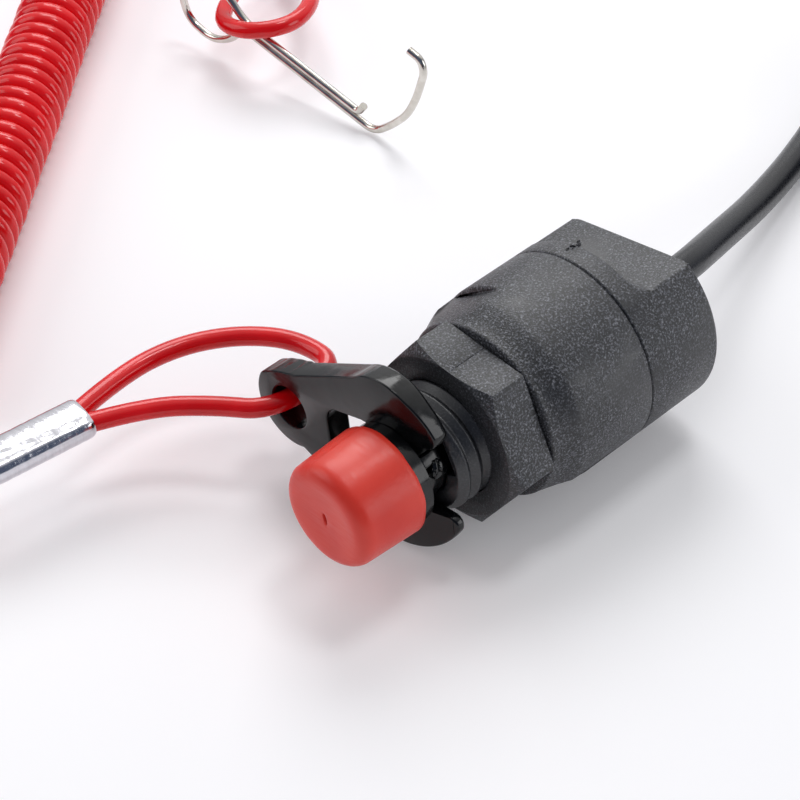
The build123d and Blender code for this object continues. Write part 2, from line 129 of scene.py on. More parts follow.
def lathe(name, profile, steps=96):
    # spins a profile of (x, radius) points, in millimetres, round the switch's axis
    deselectAll()
    bpy.ops.mesh.primitive_plane_add(size=mm)
    piece = bpy.context.object
    piece.name = name
    bpy.ops.object.mode_set(mode="EDIT")
    bpy.ops.mesh.select_all(action="SELECT")
    bpy.ops.mesh.merge(type="CENTER")
    bpy.ops.transform.translate(value=(profile[0][0] * mm, 0, profile[0][1] * mm))
    for before, here in zip(profile, profile[1:]):
        step = ((here[0] - before[0]) * mm, 0, (here[1] - before[1]) * mm)
        bpy.ops.mesh.extrude_region_move(TRANSFORM_OT_translate={"value": step})
    bpy.ops.mesh.select_all(action="SELECT")
    bpy.ops.mesh.spin(steps=steps, angle=2 * math.pi, center=(0, 0, 0), axis=(1, 0, 0))
    bpy.ops.mesh.select_all(action="SELECT")
    bpy.ops.mesh.remove_doubles(threshold=mergeReach)
    bpy.ops.mesh.normals_make_consistent(inside=False)
    bpy.ops.object.mode_set(mode="OBJECT")
    return piece


def linear(hexColour):
    # sRGB hex to the linear colour that a shader socket takes
    channels = [int(hexColour[i:i + 2], 16) / 255 for i in (1, 3, 5)]
    return [c / 12.92 if c <= 0.04045 else ((c + 0.055) / 1.055) ** 2.4 for c in channels] + [1.0]


def newMaterial(name, **settings):
    # a material with its shader's sockets set; an underscore stands for a space in a socket's name
    material = bpy.data.materials.new(name)
    material.use_nodes = True
    shader = material.node_tree.nodes["Principled BSDF"]
    for socket, value in settings.items():
        shader.inputs[socket.replace("_", " ")].default_value = value
    return material, shader


def addNode(owner, kind, links=(), stops=(), **settings):
    # adds a node to a material or world, with its settings, its (place, hex colour) stops if it is a ramp,
    # and a link for each (socket, input) pair
    node = owner.node_tree.nodes.new(kind)
    for key, value in settings.items():
        if hasattr(node, key):
            setattr(node, key, value)
        else:
            node.inputs[key.replace("_", " ")].default_value = value
    for place, colour in stops[2:]:
        node.color_ramp.elements.new(place)
    for index, (place, colour) in enumerate(stops):
        node.color_ramp.elements[index].position = place
        node.color_ramp.elements[index].color = linear(colour)
    for source, target in links:
        owner.node_tree.links.new(source, node.inputs[target])
    return node


def link(owner, source, target):
    owner.node_tree.links.new(source, target)


def blobScale(size):
    # noise scale for blobs about `size` metres across
    return 1.0 / (2 * size)


grainedNylon = {
    "grain": 0.13 * mm,         # drawn coarser than the real 0.05 mm grain, so that it shows
    "grainDepth": 0.10 * mm,
    # the two lighter stops are painted glints off the grain's facets; the two darkest are the grain's own
    # tone
    "grainAndGlintColours": [(0.38, "#07080a"), (0.48, "#15161a"), (0.59, "#4a4c54"), (0.77, "#8e9097")],
    "smoothColour": "#1b1c20",
    "threadEnd": -6.7 * mm,     # from here to the front the mould was polished
    "threadPolish": 0.85,
    "patch": 5.0 * mm,          # size of the smoother patches that the mould leaves
    "patchPolish": 0.7,
}


def makeGrainedNylon():
    # glass-filled nylon from a spark-eroded mould: matt, with a fine grain whose pale dots are painted
    # glints, and smoother patches
    v = grainedNylon
    material, shader = newMaterial("grainedNylon", Roughness=0.5, IOR=1.53, Specular_IOR_Level=0.6)
    place = addNode(material, "ShaderNodeTexCoord").outputs["Object"]
    grain = addNode(material, "ShaderNodeTexNoise", [(place, "Vector")], Scale=blobScale(v["grain"]),
                    Detail=2.0, Roughness=0.6)
    patches = addNode(material, "ShaderNodeTexNoise", [(place, "Vector")], Scale=blobScale(v["patch"]),
                      Detail=2.0)
    inPatches = addNode(material, "ShaderNodeMapRange", [(patches.outputs["Fac"], "Value")],
                        From_Min=0.53, From_Max=0.66, To_Min=0.0, To_Max=v["patchPolish"])
    lengthwise = addNode(material, "ShaderNodeSeparateXYZ", [(place, "Vector")])
    onThread = addNode(material, "ShaderNodeMapRange", [(lengthwise.outputs["X"], "Value")],
                       From_Min=v["threadEnd"], From_Max=v["threadEnd"] + 0.5 * mm,
                       To_Min=v["threadPolish"], To_Max=0.0)
    either = addNode(material, "ShaderNodeMath", operation="MAXIMUM",
                     links=[(inPatches.outputs["Result"], 0), (onThread.outputs["Result"], 1)])
    polished = either.outputs["Value"]
    # the grain's own dark tone, with pale dots of painted glint
    grainAndGlintTones = addNode(material, "ShaderNodeValToRGB", [(grain.outputs["Fac"], "Fac")], v["grainAndGlintColours"])
    colour = addNode(material, "ShaderNodeMixRGB", [(polished, "Fac"), (grainAndGlintTones.outputs["Color"], "Color1")],
                     Color2=linear(v["smoothColour"]))
    link(material, colour.outputs["Color"], shader.inputs["Base Color"])
    dull = addNode(material, "ShaderNodeMapRange", [(polished, "Value")], To_Min=0.5, To_Max=0.36)
    link(material, dull.outputs["Result"], shader.inputs["Roughness"])
    strength = addNode(material, "ShaderNodeMapRange", [(polished, "Value")], To_Min=1.0, To_Max=0.1)
    bump = addNode(material, "ShaderNodeBump", Distance=v["grainDepth"],
                   links=[(grain.outputs["Fac"], "Height"), (strength.outputs["Result"], "Strength")])
    link(material, bump.outputs["Normal"], shader.inputs["Normal"])
    return material


smoothAcetal = {
    "wave": 1.6 * mm,
    "waveDepth": 0.08 * mm,
    "scuff": 0.25 * mm,
    "scuffTurn": (0.5, 0.3, 0.9),
    "scuffStretch": (1.0, 0.16, 1.0),
    "scuffDepth": 0.008 * mm,
    "colours": [(0.4, "#08090a"), (0.75, "#121316")],
}


def makeSmoothAcetal():
    # black acetal from a polished mould: glossy, gently wavy, with light scuffs that dull it in streaks
    v = smoothAcetal
    material, shader = newMaterial("smoothAcetal", Roughness=0.25, IOR=1.48, Specular_IOR_Level=0.4)
    place = addNode(material, "ShaderNodeTexCoord").outputs["Object"]
    waves = addNode(material, "ShaderNodeTexNoise", [(place, "Vector")], Scale=blobScale(v["wave"]),
                    Detail=1.0)
    stretched = addNode(material, "ShaderNodeMapping", [(place, "Vector")],
                        Rotation=v["scuffTurn"], Scale=v["scuffStretch"])
    scuffs = addNode(material, "ShaderNodeTexNoise", [(stretched.outputs["Vector"], "Vector")],
                     Scale=blobScale(v["scuff"]), Detail=4.0, Roughness=0.7)
    colour = addNode(material, "ShaderNodeValToRGB", [(scuffs.outputs["Fac"], "Fac")], v["colours"])
    link(material, colour.outputs["Color"], shader.inputs["Base Color"])
    dull = addNode(material, "ShaderNodeMapRange", [(scuffs.outputs["Fac"], "Value")],
                   From_Min=0.4, From_Max=0.72, To_Min=0.13, To_Max=0.26)
    link(material, dull.outputs["Result"], shader.inputs["Roughness"])
    bump = addNode(material, "ShaderNodeBump", [(waves.outputs["Fac"], "Height")],
                   Strength=0.6, Distance=v["waveDepth"])
    fine = addNode(material, "ShaderNodeBump", Strength=0.2, Distance=v["scuffDepth"],
                   links=[(scuffs.outputs["Fac"], "Height"), (bump.outputs["Normal"], "Normal")])
    link(material, fine.outputs["Normal"], shader.inputs["Normal"])
    return material


satinRed = {
    "cloud": 4.0 * mm,
    "cloudDepth": 0.10 * mm,
    "streak": 0.16 * mm,        # width of the fine wiped lines in the skin
    "streakTurn": (0.7, 0.2, 0.6),
    "streakStretch": (1.0, 0.1, 1.0),
    "streakDepth": 0.012 * mm,
    "colours": [(0.38, "#cf2c1f"), (0.66, "#dd4032")],
}


def makeSatinRed():
    # red polypropylene with a satin skin: soft highlights, faint clouding and fine lines from wiping
    v = satinRed
    material, shader = newMaterial("satinRedPolypropylene", Roughness=0.36, IOR=1.49, Specular_IOR_Level=0.45,
                                   Subsurface_Weight=0.1, Subsurface_Scale=0.8 * mm,
                                   Subsurface_Radius=(1.0, 0.25, 0.15))
    place = addNode(material, "ShaderNodeTexCoord").outputs["Object"]
    clouds = addNode(material, "ShaderNodeTexNoise", [(place, "Vector")], Scale=blobScale(v["cloud"]),
                     Detail=1.0)
    wiped = addNode(material, "ShaderNodeMapping", [(place, "Vector")],
                    Rotation=v["streakTurn"], Scale=v["streakStretch"])
    streaks = addNode(material, "ShaderNodeTexNoise", [(wiped.outputs["Vector"], "Vector")],
                      Scale=blobScale(v["streak"]), Detail=2.0)
    colour = addNode(material, "ShaderNodeValToRGB", [(clouds.outputs["Fac"], "Fac")], v["colours"])
    link(material, colour.outputs["Color"], shader.inputs["Base Color"])
    dull = addNode(material, "ShaderNodeMapRange", [(streaks.outputs["Fac"], "Value")],
                   From_Min=0.3, From_Max=0.7, To_Min=0.28, To_Max=0.44)
    link(material, dull.outputs["Result"], shader.inputs["Roughness"])
    soft = addNode(material, "ShaderNodeBump", [(clouds.outputs["Fac"], "Height")],
                   Strength=0.5, Distance=v["cloudDepth"])
    fine = addNode(material, "ShaderNodeBump", Strength=0.6, Distance=v["streakDepth"],
                   links=[(streaks.outputs["Fac"], "Height"), (soft.outputs["Normal"], "Normal")])
    link(material, fine.outputs["Normal"], shader.inputs["Normal"])
    return material


softJacket = {
    "rippleDepth": 0.05 * mm,
    "speck": 0.14 * mm,         # drawn coarser than the skin's real 0.05 mm marks, so that they show
    "speckDepth": 0.010 * mm,
    "scatter": 0.6 * mm,
}


def makeSoftJacket(name, deep, pale, roughness, ripple, glow=0.0):
    # extruded soft PVC: a wet-looking skin with slow ripples along it, which lets a little light in
    v = softJacket
    material, shader = newMaterial(name, Roughness=roughness, IOR=1.53, Specular_IOR_Level=0.4,
                                   Subsurface_Weight=glow, Subsurface_Scale=v["scatter"])
    place = addNode(material, "ShaderNodeTexCoord").outputs["Object"]
    ripples = addNode(material, "ShaderNodeTexNoise", [(place, "Vector")], Scale=blobScale(ripple),
                      Detail=2.0)
    specks = addNode(material, "ShaderNodeTexNoise", [(place, "Vector")], Scale=blobScale(v["speck"]),
                     Detail=2.0)
    colour = addNode(material, "ShaderNodeValToRGB", [(ripples.outputs["Fac"], "Fac")],
                     [(0.35, deep), (0.68, pale)])
    link(material, colour.outputs["Color"], shader.inputs["Base Color"])
    dull = addNode(material, "ShaderNodeMapRange", [(specks.outputs["Fac"], "Value")],
                   From_Min=0.35, From_Max=0.7, To_Min=roughness * 0.8, To_Max=roughness * 1.35)
    link(material, dull.outputs["Result"], shader.inputs["Roughness"])
    soft = addNode(material, "ShaderNodeBump", [(ripples.outputs["Fac"], "Height")],
                   Strength=0.3, Distance=v["rippleDepth"])
    fine = addNode(material, "ShaderNodeBump", Strength=0.2, Distance=v["speckDepth"],
                   links=[(specks.outputs["Fac"], "Height"), (soft.outputs["Normal"], "Normal")])
    link(material, fine.outputs["Normal"], shader.inputs["Normal"])
    return material


def makeBareMetal(name, dark, pale, roughness, mark, depth, stretch=(1.0, 1.0, 1.0)):
    # bare metal: its colour in slow clouds, with fine marks from drawing, stamping or crimping
    material, shader = newMaterial(name, Metallic=1.0, Roughness=roughness)
    place = addNode(material, "ShaderNodeTexCoord").outputs["Object"]
    drawn = addNode(material, "ShaderNodeMapping", [(place, "Vector")], Scale=stretch)
    marks = addNode(material, "ShaderNodeTexNoise", [(drawn.outputs["Vector"], "Vector")],
                    Scale=blobScale(mark), Detail=4.0, Roughness=0.6)
    colour = addNode(material, "ShaderNodeValToRGB", [(marks.outputs["Fac"], "Fac")],
                     [(0.32, dark), (0.7, pale)])
    link(material, colour.outputs["Color"], shader.inputs["Base Color"])
    dull = addNode(material, "ShaderNodeMapRange", [(marks.outputs["Fac"], "Value")],
                   From_Min=0.3, From_Max=0.7, To_Min=roughness * 0.7, To_Max=roughness * 1.5)
    link(material, dull.outputs["Result"], shader.inputs["Roughness"])
    bump = addNode(material, "ShaderNodeBump", [(marks.outputs["Fac"], "Height")],
                   Strength=0.8, Distance=depth)
    link(material, bump.outputs["Normal"], shader.inputs["Normal"])
    return material


mattRubber = {
    "bloom": 0.6 * mm,
    "bloomDepth": 0.02 * mm,
    "colours": [(0.35, "#141517"), (0.7, "#222326")],
}


def makeMattRubber():
    # moulded nitrile rubber: dull and dark, with a slight bloom
    v = mattRubber
    material, shader = newMaterial("mattRubber", Roughness=0.75, IOR=1.52, Specular_IOR_Level=0.3)
    place = addNode(material, "ShaderNodeTexCoord").outputs["Object"]
    bloom = addNode(material, "ShaderNodeTexNoise", [(place, "Vector")], Scale=blobScale(v["bloom"]),
                    Detail=3.0)
    colour = addNode(material, "ShaderNodeValToRGB", [(bloom.outputs["Fac"], "Fac")], v["colours"])
    link(material, colour.outputs["Color"], shader.inputs["Base Color"])
    bump = addNode(material, "ShaderNodeBump", [(bloom.outputs["Fac"], "Height")],
                   Strength=0.4, Distance=v["bloomDepth"])
    link(material, bump.outputs["Normal"], shader.inputs["Normal"])
    return material


nylon = makeGrainedNylon()
acetal = makeSmoothAcetal()
redSatin = makeSatinRed()
redCord = makeSoftJacket("glossyRedCord", "#d2060f", "#e4121b", 0.14, ripple=3.0 * mm, glow=0.1)
blackCable = makeSoftJacket("blackCableJacket", "#121318", "#1a1c21", 0.27, ripple=14.0 * mm)
redCore = makeSoftJacket("redCoreJacket", "#a8131c", "#bf2029", 0.3, ripple=2.0 * mm)
aluminium = makeBareMetal("crimpedAluminium", "#cbcad0", "#d9d8de", 0.14, mark=0.2 * mm, depth=0.03 * mm,
                          stretch=(1.0, 0.1, 0.1))
steel = makeBareMetal("brightSteelWire", "#c3beb5", "#dcd8d1", 0.14, mark=1.2 * mm, depth=0.006 * mm)
brass = makeBareMetal("stampedBrass", "#b8923f", "#dcbc6c", 0.24, mark=0.4 * mm, depth=0.01 * mm)
tin = makeBareMetal("tinnedCopper", "#a9abab", "#d3d5d4", 0.28, mark=0.3 * mm, depth=0.015 * mm)
rubber = makeMattRubber()
print("materials made")

# what the construction solids that stay in view are made of
nodeFinishes = {
    "spring_washer": steel, "retaining_ring": steel, "wire_hook": steel, "plunger": acetal,
    "contact_base": nylon, "contact_bridge": brass, "fixed_contact_a": brass, "fixed_contact_b": brass,
    "plunger_seal": rubber, "cap_seal": rubber, "cable_bush": rubber,
    "inner_wire_a": blackCable, "inner_wire_b": redCore, "ring_terminal_a": tin, "ring_terminal_b": tin,
}
for node, finish in nodeFinishes.items():
    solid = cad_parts[node]
    for materialSlot in solid.material_slots:
        materialSlot.material = finish
    if not solid.material_slots:
        solid.data.materials.append(finish)


# Front housing: shoulder drawn in behind the seat, moulded edges softened, thread cut as a real helix
housing = {
    "bodyRadius": 13.6,
    "shoulderRadius": 12.1,
    "shoulderInside": 11.5,     # points nearer to the axis than this aren't on the shoulder
    "shoulderRun": 4.2,
    "hollowRun": 5.2,           # length over which the shoulder's waist grows out to the body
    "edge": 0.3,
    "sharpAngle": 40,           # edges that turn by more, in degrees, are softened
    "barrelRadius": 8.0,
    "threadPitch": 1.95,
    "threadTurns": 5,
    "threadRoot": 7.2,
    "grooveAtRoot": 0.35,
    "grooveAtCrest": 1.6,
    "threadStart": -11.6,
    "threadPast": 0.15,         # how far the thread's cutter stands outside the barrel
    "threadSteps": 72,
    "partingX": 16.4,
    "partingGap": 0.22,
    "partingDepth": 0.35,
    "partingPast": 0.3,
    "keyRoom": (-11.6, -7.8),   # the notch in the barrel's mouth that the plunger's ribs slide into
    "keyRoomTurn": 150,
    "keyRoomWidth": 4.6,
    "keyRoomRadii": (4.0, 6.4),
}


def shoulderShare(x):
    # how far the waisted shoulder lies inside the plain rounding of the construction solid
    v = housing
    drop = v["bodyRadius"] - v["shoulderRadius"]
    arc = (v["shoulderRun"] ** 2 + drop ** 2) / (2 * drop)
    plain = v["bodyRadius"] - arc + math.sqrt(arc ** 2 - (v["shoulderRun"] - x) ** 2)
    share = x / v["hollowRun"]
    waisted = v["shoulderRadius"] + drop * share * share * (3 - 2 * share)
    return waisted / plain


def threadCutter():
    # a tapered bar wound round the barrel, which leaves the thread's crests between its turns
    v = housing
    outside = v["barrelRadius"] + v["threadPast"]
    slope = (v["grooveAtCrest"] - v["grooveAtRoot"]) / (v["barrelRadius"] - v["threadRoot"])
    wide = v["grooveAtRoot"] + slope * (outside - v["threadRoot"])
    corners = [(-v["grooveAtRoot"] / 2, v["threadRoot"]), (v["grooveAtRoot"] / 2, v["threadRoot"]),
               (wide / 2, outside), (-wide / 2, outside)]
    deselectAll()
    bpy.ops.mesh.primitive_circle_add(vertices=4, radius=mm)
    cutter = bpy.context.object
    for vertex, (x, r) in zip(cutter.data.vertices, corners):
        vertex.co = ((v["threadStart"] + x) * mm, 0, r * mm)
    winding = cutter.modifiers.new("winding", "SCREW")
    winding.axis = "X"
    winding.angle = 2 * math.pi
    winding.screw_offset = v["threadPitch"] * mm
    winding.iterations = v["threadTurns"]
    winding.steps = v["threadSteps"]
    winding.render_steps = v["threadSteps"]
    applyModifiers(cutter)
    bpy.ops.object.mode_set(mode="EDIT")
    bpy.ops.mesh.select_all(action="SELECT")
    bpy.ops.mesh.fill_holes(sides=4)
    bpy.ops.mesh.select_all(action="SELECT")
    bpy.ops.mesh.normals_make_consistent(inside=False)
    bpy.ops.object.mode_set(mode="OBJECT")
    return cutter


def partingRing():
    # a ring that cuts the narrow gap between the housing and the cap
    v = housing
    front, back = v["partingX"] - v["partingGap"] / 2, v["partingX"] + v["partingGap"] / 2
    bottom, top = v["bodyRadius"] - v["partingDepth"], v["bodyRadius"] + v["partingPast"]
    return lathe("partingRing", [(front, bottom), (front, top), (back, top), (back, bottom), (front, bottom)])


def keyRoomCutter():
    # a bar that cuts the notch into the barrel's mouth
    v = housing
    (front, back), (inner, outer) = v["keyRoom"], v["keyRoomRadii"]
    deselectAll()
    bpy.ops.mesh.primitive_cube_add(size=mm)
    bar = bpy.context.object
    bar.scale = (back - front, outer - inner, v["keyRoomWidth"])
    bar.location = ((front + back) / 2 * mm, (inner + outer) / 2 * mm, 0)
    applyPlace(bar)
    bar.rotation_euler = (math.radians(v["keyRoomTurn"]), 0, 0)
    applyPlace(bar)
    return bar


housingShell = copyOfNode("front_housing")
for vertex in housingShell.data.vertices:
    x = vertex.co.x / mm
    onShoulder = math.hypot(vertex.co.y, vertex.co.z) > housing["shoulderInside"] * mm
    if onShoulder and 0.01 < x < housing["shoulderRun"] + 0.01:
        share = shoulderShare(x)
        vertex.co = (vertex.co.x, vertex.co.y * share, vertex.co.z * share)
softenEdges(housingShell, housing["edge"] * mm, angle=housing["sharpAngle"], clamp=False)
cutWith(housingShell, keyRoomCutter())
cutWith(housingShell, threadCutter())
cutWith(housingShell, partingRing())
finishPiece(housingShell, "frontHousingMoulding", nylon, "switch", "black_nylon", "front_housing")
print("front housing shaped")

# Rear cap: moulded edges softened, with the torn mark that its gate left beside the upper flat
rearCap = {
    "edge": 0.28,
    "sharpAngle": 40,
    # centre and radius of each crumb of the mark
    "crumbs": [(18.2, 3.05, 13.2, 0.36), (18.6, 2.65, 13.26, 0.3), (19.1, 3.05, 13.24, 0.42),
               (19.7, 2.6, 13.3, 0.36), (20.1, 3.0, 13.24, 0.3)],
    "crumbRoughness": 0.7,
    "crumbStretch": (1.0, 0.6, 0.6),
}


def roughLump(radius, roughness, seed):
    # a torn bit of plastic, from a ball whose points are pushed about
    deselectAll()
    bpy.ops.mesh.primitive_ico_sphere_add(subdivisions=3, radius=radius)
    lump = bpy.context.object
    chance = random.Random(seed)
    for vertex in lump.data.vertices:
        vertex.co *= 1 + roughness * (chance.random() - 0.5)
    return lump


capShell = copyOfNode("rear_cap")
softenEdges(capShell, rearCap["edge"] * mm, angle=rearCap["sharpAngle"], clamp=False)
cutWith(capShell, partingRing())
finishPiece(capShell, "rearCapMoulding", nylon, "switch", "black_nylon", "rear_cap")
for index, (x, y, z, size) in enumerate(rearCap["crumbs"]):
    crumb = roughLump(size * mm, rearCap["crumbRoughness"], seed=20 + index)
    crumb.scale = rearCap["crumbStretch"]
    crumb.rotation_euler = (0.3 + index, 0.2 * index, 0.9 * index)
    crumb.location = (x * mm, y * mm, z * mm)
    applyPlace(crumb)
    finishPiece(crumb, f"capCrumb{index + 1}", nylon, "switch", "black_nylon", angle=20)
print("rear cap shaped")

# Nut: edges softened, with the open weld line across its top face and front face
nut = {
    "edge": 0.2,
    "seamSide": 0.17,           # of the square bar that cuts the line
    "seamY": -0.7,
    "sharpAngle": 25,
    "topHeight": 11.06,
    "frontX": -6.5,
    "length": 6.15,
    "frontSeam": (9.6, 3.4),    # middle height and length of the line on the front face
}


def seamBar(place, size, turn):
    # a square bar that stands on its edge and cuts one stretch of the line
    deselectAll()
    bpy.ops.mesh.primitive_cube_add(size=mm, location=[value * mm for value in place])
    bar = bpy.context.object
    bar.scale = size
    bar.rotation_euler = [math.radians(angle) for angle in turn]
    applyPlace(bar)
    return bar


nutShell = copyOfNode("hex_nut")
softenEdges(nutShell, nut["edge"] * mm, angle=nut["sharpAngle"])
seamSide = nut["seamSide"]
cutWith(nutShell, seamBar((nut["frontX"] + nut["length"] / 2, nut["seamY"], nut["topHeight"]),
                          (nut["length"] + 1.0, seamSide, seamSide), turn=(45, 0, 0)))
cutWith(nutShell, seamBar((nut["frontX"], nut["seamY"], nut["frontSeam"][0]),
                          (seamSide / 2, seamSide / 2, nut["frontSeam"][1]), turn=(0, 0, 45)))
finishPiece(nutShell, "hexNutMoulding", nylon, "switch", "black_nylon", "hex_nut")
print("nut shaped")

# Lock clip: a polished fork, its edges well rounded, with one arm a little shorter and thicker, as moulded
clip = {
    "edge": 0.26,
    "sharpAngle": 38,
    "turn": -7.0,               # degrees; u runs along the slot and w across it
    "front": -14.96,
    "back": -11.24,
    "armStart": 2.0,            # the upper arm is drawn in beyond this u
    "armShare": 0.82,
    "ramp": [(-9.6, 2.82), (3.0, 0.48), (7.0, 0.0)],            # fall of the front face, by u
    "upperRamp": [(-9.6, 1.7), (-7.0, 1.2), (-4.0, 0.35), (-2.0, 0.1), (2.0, 0.0)],
    "upperDraft": [(-9.6, 1.0), (-4.0, 1.1), (0.0, 0.85), (2.0, 0.65), (4.0, 0.3), (6.0, 0.0)],
    "draftAcross": (6.5, 4.0),  # w where the draft starts, and its run
    "tabLift": [(9.0, 0.0), (14.0, 0.2), (16.6, 0.33), (17.3, 0.2), (18.3, -0.35), (20.3, -0.75),
                (22.5, -0.7), (24.6, -0.4)],
    "liftAcross": (3.5, 1.6),
    "cuts": [-8.5, -7, -5.5, -4, -3, -2, -1, 0, 1, 2, 3.5, 5],
}


def valueAt(table, where):
    # value of a table of (place, value) pairs at a place between them
    if where <= table[0][0]:
        return table[0][1]
    for (before, low), (after, high) in zip(table, table[1:]):
        if where <= after:
            return low + (high - low) * (where - before) / (after - before)
    return table[-1][1]


def rise(where, start, run):
    # from nought at the start to one at the end of the run
    return min(1.0, max(0.0, (where - start) / run))


def shapeClip(piece):
    # cuts the plate across its slot, then draws the upper arm and the tab to their moulded form
    v = clip
    c, s = math.cos(math.radians(v["turn"])), math.sin(math.radians(v["turn"]))
    rampEnd, draftEnd, tabStart = v["ramp"][-1][0], v["upperDraft"][-1][0], v["tabLift"][0][0]
    makeActive(piece)
    bpy.ops.object.mode_set(mode="EDIT")
    for cut in v["cuts"]:
        bpy.ops.mesh.select_all(action="SELECT")
        bpy.ops.mesh.bisect(plane_co=(0, cut * c * mm, cut * s * mm), plane_no=(0, c, s))
    bpy.ops.object.mode_set(mode="OBJECT")
    for vertex in piece.data.vertices:
        x, y, z = (value / mm for value in vertex.co)
        u, w = y * c + z * s, z * c - y * s
        if w > 0:
            if u < rampEnd:
                thick = v["back"] - v["front"] - valueAt(v["ramp"], u)
                wanted = v["back"] - v["front"] - valueAt(v["upperRamp"], u)
                x = v["back"] - (v["back"] - x) * wanted / thick
            depth = (x - v["front"]) / (v["back"] - v["front"])
            if u < draftEnd:
                w -= valueAt(v["upperDraft"], u) * depth * rise(w, *v["draftAcross"])
            if u < v["armStart"]:
                u = v["armStart"] + (u - v["armStart"]) * v["armShare"]
            if u > tabStart:
                w += valueAt(v["tabLift"], u) * rise(w, *v["liftAcross"])
        vertex.co = (x * mm, (u * c - w * s) * mm, (u * s + w * c) * mm)


clipShell = copyOfNode("lock_clip")
shapeClip(clipShell)
softenEdges(clipShell, clip["edge"] * mm, segments=3, angle=clip["sharpAngle"], clamp=False)
finishPiece(clipShell, "lockClipFork", acetal, "clip", "black_acetal", "lock_clip", angle=50)
print("clip shaped")

# Red button: a cup with a gate dimple in its face, a mould ridge along its side and a trimmed rim
button = {
    "front": -26.6,
    "back": -16.85,
    "frontRadius": 7.1,
    "backRadius": 7.45,
    "edge": 1.9,
    "edgeSteps": 8,
    "sideSteps": 12,
    "dish": 0.25,
    # the dimple in the dish, from its centre outwards, as (distance behind the dish's floor, radius)
    "dimple": [(1.0, 0.0), (0.95, 0.2), (0.3, 0.32), (0.04, 0.5), (0.0, 0.8), (0.0, 1.4)],
    "dishSide": [(0.2, 3.0), (0.06, 4.4)],      # behind the front, radius
    "dimpleReach": 0.9,
    "dimpleStretch": 1.8,       # the dimple is a short slit
    "skirtInside": 6.86,
    "roomStart": -20.38,
    "roomRadius": 5.6,
    "wall": 1.6,
    "rodRadius": 1.5,
    "rodEnd": 13.35,
    "headRadius": 2.1,
    "headThickness": 0.5,
    "ridgeAngle": (28, 63),     # degrees from +Y to +Z, of the strip beside the mould's parting line
    "ridgeRun": 12,             # degrees over which the strip falls away
    "ridgeStep": 0.14,
    "rimChamfer": 0.12,
    "rimWander": 0.05,          # how far the trimmed rim strays
}


def buttonProfile():
    # the cup's outline from the middle of its face round the rim to the end of its rod
    v = button
    front, back, edge, chamfer = v["front"], v["back"], v["edge"], v["rimChamfer"]
    room, rodHead = front + v["wall"], v["rodEnd"] + v["headThickness"]
    face = [(front + v["dish"] + behind, radius) for behind, radius in v["dimple"]]
    face += [(front + behind, radius) for behind, radius in v["dishSide"]]
    face.append((front, v["frontRadius"] - edge))
    for step in range(1, v["edgeSteps"] + 1):
        angle = math.pi / 2 * step / v["edgeSteps"]
        face.append((front + edge * (1 - math.cos(angle)), v["frontRadius"] - edge * (1 - math.sin(angle))))
    for step in range(1, v["sideSteps"] + 1):
        share = step / v["sideSteps"]
        face.append((front + edge + (back - chamfer - front - edge) * share,
                     v["frontRadius"] + (v["backRadius"] - v["frontRadius"]) * share))
    return face + [(back, v["backRadius"] - chamfer), (back, v["skirtInside"]),
                   (v["roomStart"], v["skirtInside"]), (v["roomStart"], v["roomRadius"]),
                   (room, v["roomRadius"]), (room, v["rodRadius"]), (v["rodEnd"], v["rodRadius"]),
                   (v["rodEnd"], v["headRadius"]), (rodHead, v["headRadius"]), (rodHead, 0.0)]


buttonCup = lathe("redButtonCup", buttonProfile(), steps=128)
low, high = button["ridgeAngle"]
for vertex in buttonCup.data.vertices:
    x, radius = vertex.co.x / mm, math.hypot(vertex.co.y, vertex.co.z) / mm
    turn = math.degrees(math.atan2(vertex.co.z, vertex.co.y))
    onSide = x < button["back"] + 0.1 and radius > button["frontRadius"] - button["edge"] / 2
    if onSide and low < turn < high:
        fall = button["ridgeStep"] * rise(turn, low, button["ridgeRun"])
        vertex.co.y *= 1 - fall / radius
        vertex.co.z *= 1 - fall / radius
    if x < button["front"] + button["edge"] and radius < button["dimpleReach"]:
        stretch = button["dimpleStretch"] * (button["dimpleReach"] - radius)
        vertex.co.z += stretch * vertex.co.z
        vertex.co.y = 0.7 * vertex.co.y + 0.3 * stretch * vertex.co.z
    if x > button["back"] - 0.3 and radius > button["skirtInside"] + 0.1:
        wander = math.sin(math.radians(turn) * 5) + 0.6 * math.sin(math.radians(turn) * 13 + 1)
        vertex.co.x += button["rimWander"] * wander * mm
finishPiece(buttonCup, "redButtonCup", redSatin, "button", "red_plastic", "red_button", angle=48)
print("red button shaped")

# Plunger's neck: two short guide ribs in the fork's mouth, with the torn flash between them
neck = {
    "neckRadius": 4.9,
    "ribs": [(-13.1, 138, 3.0, 1.7, 0.9), (-12.2, 161, 2.4, 1.5, 0.7)],   # x, angle, length, width, height
    "ribRoot": 1.0,             # how deep a rib is sunk in the neck
    "ribEdge": 0.34,
    "flash": [(-12.6, 149, 0.8, 5), (-12.0, 153, 0.7, 6), (-13.1, 155, 0.65, 7)],   # x, angle, radius, seed
    "flashHeight": 0.6,
    "flashRoughness": 0.35,
    "flashStretch": (1.0, 0.6, 1.2),
}
for index, (x, turn, length, width, height) in enumerate(neck["ribs"]):
    deselectAll()
    bpy.ops.mesh.primitive_cube_add(size=mm)
    rib = bpy.context.object
    rib.scale = (length, height + neck["ribRoot"], width)
    rib.location = (x * mm, (neck["neckRadius"] + (height - neck["ribRoot"]) / 2) * mm, 0)
    applyPlace(rib)
    softenEdges(rib, neck["ribEdge"] * mm, segments=4)
    rib.rotation_euler = (math.radians(turn), 0, 0)
    applyPlace(rib)
    finishPiece(rib, f"neckRib{index + 1}", acetal, "plunger", "black_acetal")
